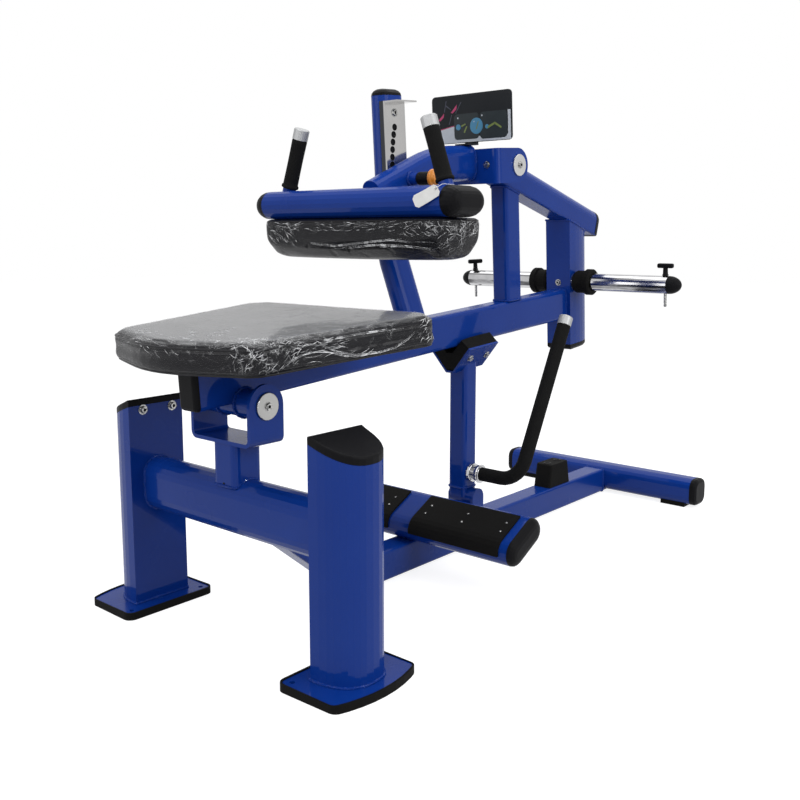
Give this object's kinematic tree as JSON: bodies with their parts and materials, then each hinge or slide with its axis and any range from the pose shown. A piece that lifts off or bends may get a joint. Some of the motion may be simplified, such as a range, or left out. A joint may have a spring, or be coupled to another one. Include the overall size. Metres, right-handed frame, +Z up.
{
  "type": "plate-loaded calf raise machine",
  "caption": "Seated calf raise machine: a swing frame with seat, thigh arm and plate horn on a fixed base with a foot bar and swing-away stop.",
  "frame": {"origin": "centre of the machine's overall box, on the floor", "axes": "+Z up; +Y from the seat's front towards the weight horn, along the machine; +X towards the side of the stop's lever"},
  "size_m": [0.812, 1.7562, 1.1843],
  "materials": {
    "blue_paint": "gloss royal blue powder coat",
    "black_plastic": "satin black plastic",
    "black_rubber": "matte black rubber",
    "black_foam": "matte black foam",
    "black_vinyl": "black grained vinyl under a clear wrap film",
    "chrome": "polished",
    "steel": "brushed",
    "aluminium": "satin",
    "placard_grey": "dark slate with a satin face"
  },
  "bodies": {
    "base": {"base_foot_left": "black_rubber", "base_foot_right": "black_rubber", "base_plate_left": "blue_paint", "base_plate_right": "blue_paint", "upright_left": "blue_paint", "upright_right": "blue_paint", "upright_cap_left": "black_plastic", "upright_cap_right": "black_plastic", "cross_tube": "blue_paint", "front_clevis": "blue_paint", "front_pivot_pin": "steel", "floor_beam": "blue_paint", "stop_bracket": "blue_paint", "rear_foot_tube": "blue_paint", "rear_foot_cap_left": "black_plastic", "rear_foot_cap_right": "black_plastic", "rear_foot_pad_left": "black_rubber", "rear_foot_pad_right": "black_rubber", "foot_bar": "blue_paint", "foot_bar_cap_left": "black_plastic", "foot_bar_cap_right": "black_plastic", "foot_tread_left": "black_rubber", "foot_tread_right": "black_rubber", "bumper": "black_rubber"},
    "stop": {"stop_post": "blue_paint", "saddle_rubber": "black_rubber", "lever_coupling": "chrome", "lever_grip": "black_foam", "lever_cap": "aluminium"},
    "frame": {"main_beam": "blue_paint", "beam_front_cap": "black_plastic", "mid_post": "blue_paint", "rear_post": "blue_paint", "rear_post_cap": "black_plastic", "top_tube": "blue_paint", "top_tube_cap": "black_plastic", "horn_shaft": "chrome", "horn_cap_left": "black_plastic", "horn_cap_right": "black_plastic", "horn_collar_left": "black_rubber", "horn_collar_right": "black_rubber", "tower": "blue_paint", "tower_cap": "black_plastic", "adjuster_plate": "steel", "seat_pad": "black_vinyl"},
    "arm": {"arm_clevis": "blue_paint", "top_pivot_pin": "steel", "arm_tube": "blue_paint", "crossbar": "blue_paint", "crossbar_cap_left": "black_plastic", "crossbar_cap_right": "black_plastic", "thigh_pad": "black_vinyl", "handle_grip_left": "black_foam", "handle_grip_right": "black_foam", "handle_cap_left": "aluminium", "handle_cap_right": "aluminium", "placard": "placard_grey"},
    "pull_pin": {"pull_pin": "black_rubber"},
    "horn_pin_left": {"horn_pin_left": "black_plastic"},
    "horn_pin_right": {"horn_pin_right": "black_plastic"}
  },
  "joints": [
    {"name": "stop_swing", "type": "hinge", "parent": "base", "child": "stop", "pos_m": [0, 0.07809, 0.142], "axis": [-1, 0, 0], "range_deg": [0, 25]},
    {"name": "frame_lift", "type": "hinge", "parent": "base", "child": "frame", "pos_m": [0, -0.68491, 0.498], "axis": [1, 0, 0], "range_deg": [0, 18]},
    {"name": "arm_adjust", "type": "hinge", "parent": "frame", "child": "arm", "pos_m": [0, 0.18329, 1.00666], "axis": [-1, 0, 0], "range_deg": [-5.68, 19.88]},
    {"name": "pull_pin_slide", "type": "slide", "parent": "arm", "child": "pull_pin", "axis": [1, 0, 0], "range_m": [0, 0.014], "stiffness_N_per_m": 1200, "springref_m": -0.005},
    {"name": "horn_pin_left_slide", "type": "slide", "parent": "frame", "child": "horn_pin_left", "axis": [0, -0.0663, 0.9978], "range_m": [0, 0.1]},
    {"name": "horn_pin_right_slide", "type": "slide", "parent": "frame", "child": "horn_pin_right", "axis": [0, -0.0663, 0.9978], "range_m": [0, 0.1]}
  ]
}
